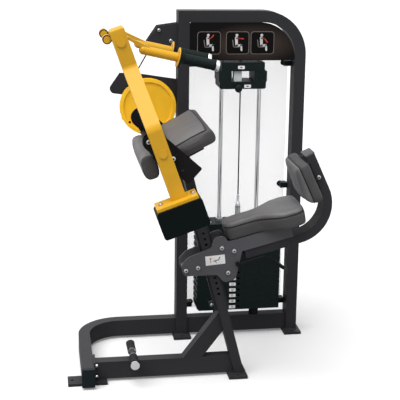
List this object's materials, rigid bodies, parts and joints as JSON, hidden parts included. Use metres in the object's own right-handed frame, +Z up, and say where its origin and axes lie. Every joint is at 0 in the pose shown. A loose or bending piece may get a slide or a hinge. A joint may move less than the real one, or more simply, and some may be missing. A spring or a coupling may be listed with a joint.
{
  "type": "triceps extension machine",
  "caption": "Seated triceps extension gym machine: weight stack tower, cam wheel, swinging arm with two handles, elbow pad and height-adjustable seat on a slanted post.",
  "frame": {"origin": "on the floor, at the centre of the left tower foot, under the left tower upright", "axes": "+Z up; +X to the right seen from the seat's side of the machine, so the user faces -X; +Y back, from the seat towards the weight tower"},
  "size_m": [1.1065, 0.915, 1.51],
  "materials": {
    "black_frame": "satin",
    "carriage_grey": "satin",
    "weight_green_black": "satin",
    "counterweight_black": "satin",
    "yellow": "gloss",
    "upholstery": "satin",
    "board": "matte",
    "black_rubber": "matte",
    "black_plastic": "satin",
    "grey_plastic": "satin",
    "chrome": "polished",
    "steel": "brushed",
    "cable_jacket": "gloss",
    "placard": "gloss",
    "clear_shroud": "gloss",
    "roller": "satin"
  },
  "bodies": {
    "frame": {"tower_frame": "black_frame", "rear_rails": "black_frame", "side_rail_cap": "black_plastic", "front_beam": "black_frame", "floor_plates": "black_frame", "footrest_bar": "black_frame", "footrest_sleeves": "black_rubber", "footrest_caps": "chrome", "main_post": "black_frame", "guide_rails": "black_frame", "cross_tube": "black_frame", "pivot_plates": "black_frame", "axle_bearings": "black_frame", "elbow_pad_board": "board", "elbow_pad": "upholstery", "stop_pad": "upholstery", "tower_pivot_plate": "black_frame", "pulley_brackets": "black_frame", "guide_rods": "chrome", "stack_buffers": "black_rubber", "resting_plates": "weight_green_black", "rear_shroud": "clear_shroud", "shroud_clips": "black_plastic", "placard_panel": "placard", "frame_bolts": "chrome", "cable_upper_run": "cable_jacket", "cable_cam_span": "cable_jacket", "cable_stack_drop": "cable_jacket"},
    "entry_pulley": {"entry_pulley": "black_plastic"},
    "crown_pulley": {"crown_pulley": "black_plastic"},
    "stack": {"lifted_plates": "weight_green_black", "selector_stem": "steel"},
    "selector_pin": {"selector_pin": "black_plastic"},
    "add_on_weights": {"lower_add_on_weight": "weight_green_black", "upper_add_on_weight": "weight_green_black"},
    "add_on_knob": {"add_on_knob": "black_plastic"},
    "arm": {"arm_tube": "yellow", "arm_axles": "steel", "counterweight_flange": "yellow", "counterweight": "counterweight_black", "arm_bolts": "chrome", "cam_wheel": "yellow", "cable_on_cam": "cable_jacket"},
    "near_handle": {"near_handle": "yellow", "near_handle_grip": "black_rubber", "near_handle_ring": "chrome"},
    "far_handle": {"far_handle": "yellow", "far_handle_grip": "black_rubber", "far_handle_ring": "chrome"},
    "carriage": {"carriage_plates": "carriage_grey", "carriage_bolts": "chrome", "seat_tube": "black_frame", "seat_tube_cap": "grey_plastic", "seat_pad": "upholstery", "back_pad_board": "board", "back_pad": "upholstery"},
    "left_roller": {"left_roller": "roller"},
    "upper_roller": {"upper_roller": "roller"},
    "lower_roller": {"lower_roller": "roller"},
    "release_lever": {"release_lever": "black_frame"}
  },
  "joints": [
    {"name": "arm_swing", "type": "hinge", "parent": "frame", "child": "arm", "pos_m": [-0.179, -0.46, 1.045], "axis": [0, -1, 0], "range_deg": [0, 100], "deforming": ["cable_cam_span"]},
    {"name": "stack_lift", "type": "slide", "parent": "frame", "child": "stack", "axis": [0, 0, 1], "range_m": [0, 0.212], "deforming": ["cable_stack_drop"]},
    {"name": "entry_pulley_spin", "type": "hinge", "parent": "frame", "child": "entry_pulley", "pos_m": [-0.057, 0, 1.379], "axis": [0, -1, 0], "range_deg": [0, 206]},
    {"name": "crown_pulley_spin", "type": "hinge", "parent": "frame", "child": "crown_pulley", "pos_m": [0.203, 0, 1.379], "axis": [0, -1, 0], "range_deg": [0, 206]},
    {"name": "selector_pin_pull", "type": "slide", "parent": "stack", "child": "selector_pin", "axis": [0, -1, 0], "range_m": [0, 0.075]},
    {"name": "add_on_drop", "type": "slide", "parent": "frame", "child": "add_on_weights", "axis": [0, 0, 1], "range_m": [-0.32, 0]},
    {"name": "add_on_knob_pull", "type": "slide", "parent": "add_on_weights", "child": "add_on_knob", "axis": [0, -1, 0], "range_m": [0, 0.006], "stiffness_N_per_m": 200},
    {"name": "near_handle_swivel", "type": "hinge", "parent": "arm", "child": "near_handle", "pos_m": [-0.3209, -0.562, 1.44349], "axis": [0, -1, 0], "range_deg": [-35, 60]},
    {"name": "far_handle_swivel", "type": "hinge", "parent": "arm", "child": "far_handle", "pos_m": [-0.3209, -0.358, 1.44349], "axis": [0, -1, 0], "range_deg": [-35, 60]},
    {"name": "seat_height", "type": "slide", "parent": "frame", "child": "carriage", "axis": [-0.2537, 0, 0.9673], "range_m": [-0.13, 0.05]},
    {"name": "left_roller_spin", "type": "hinge", "parent": "carriage", "child": "left_roller", "pos_m": [0.00124, -0.46, 0.49737], "axis": [0, -1, 0], "range_deg": [-110, 275]},
    {"name": "upper_roller_spin", "type": "hinge", "parent": "carriage", "child": "upper_roller", "pos_m": [0.09949, -0.46, 0.58], "axis": [0, -1, 0], "range_deg": [-275, 110]},
    {"name": "lower_roller_spin", "type": "hinge", "parent": "carriage", "child": "lower_roller", "pos_m": [0.12791, -0.46, 0.47167], "axis": [0, -1, 0], "range_deg": [-275, 110]},
    {"name": "release_lever_lift", "type": "hinge", "parent": "carriage", "child": "release_lever", "pos_m": [0.16774, -0.52, 0.50899], "axis": [0, -1, 0], "range_deg": [0, 12], "stiffness_Nm_per_rad": 1.5}
  ],
  "couplings": [
    {"joint": "stack_lift", "follows": "arm_swing", "m_per_rad": 0.12},
    {"joint": "entry_pulley_spin", "follows": "arm_swing", "ratio": 2.0339},
    {"joint": "crown_pulley_spin", "follows": "arm_swing", "ratio": 2.0339},
    {"joint": "left_roller_spin", "follows": "seat_height", "rad_per_m": -36.101},
    {"joint": "upper_roller_spin", "follows": "seat_height", "rad_per_m": 36.101},
    {"joint": "lower_roller_spin", "follows": "seat_height", "rad_per_m": 36.101}
  ]
}
